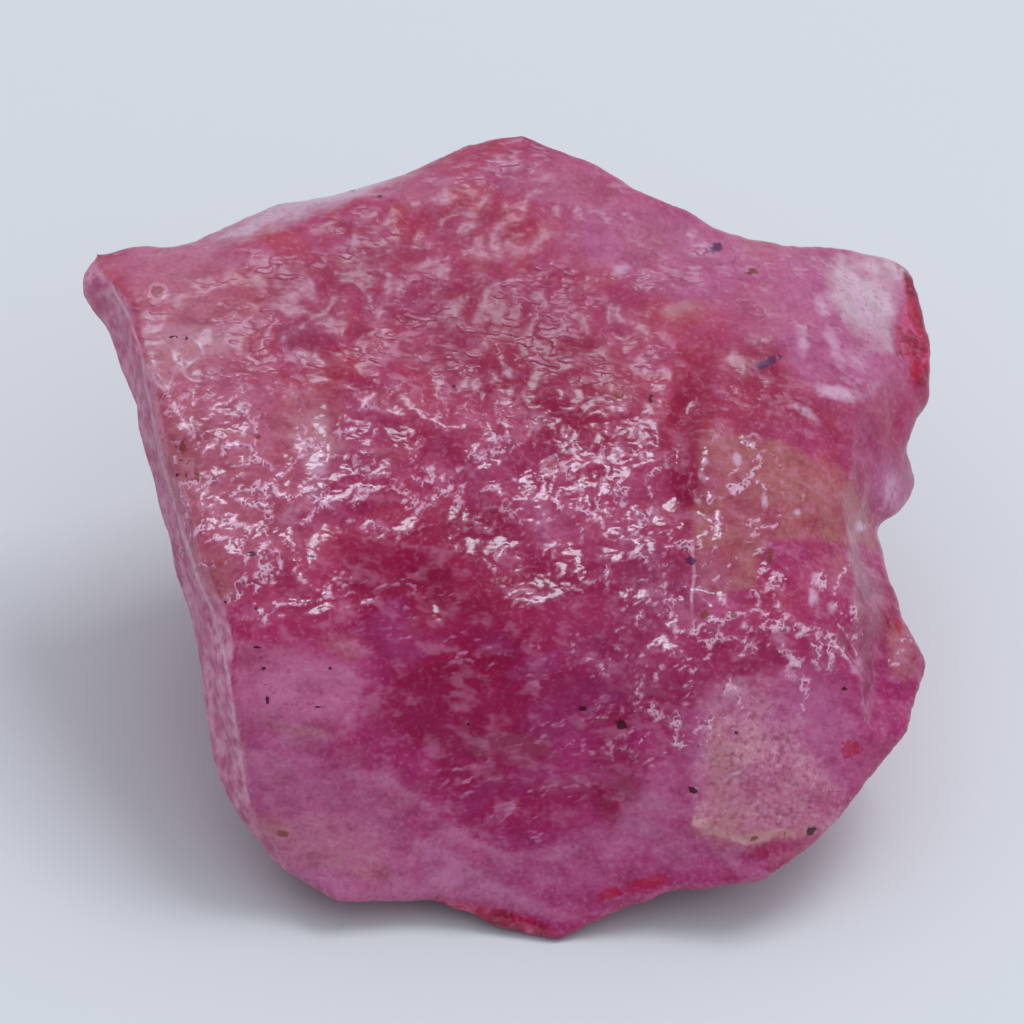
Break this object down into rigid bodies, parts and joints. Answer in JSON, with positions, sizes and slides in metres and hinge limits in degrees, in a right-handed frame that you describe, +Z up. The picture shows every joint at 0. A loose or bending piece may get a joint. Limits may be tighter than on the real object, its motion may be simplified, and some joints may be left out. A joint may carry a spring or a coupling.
{
  "type": "rough sapphire crystal",
  "caption": "Rough pink sapphire, a translucent natural stone with a broad etched face, a cleaved left wall, a rounded lobe and a flat parting face underneath to rest on.",
  "frame": {"origin": "middle of the stone's outline seen from above, at the height of the flat face that it rests on", "axes": "+X across the stone to its right-hand corner, +Y to its high back edge, +Z up from the face that it rests on"},
  "size_m": [0.0534, 0.0412, 0.0307],
  "materials": {
    "sapphire": "gloss"
  },
  "bodies": {
    "root": {"crystal": "sapphire"}
  },
  "joints": []
}
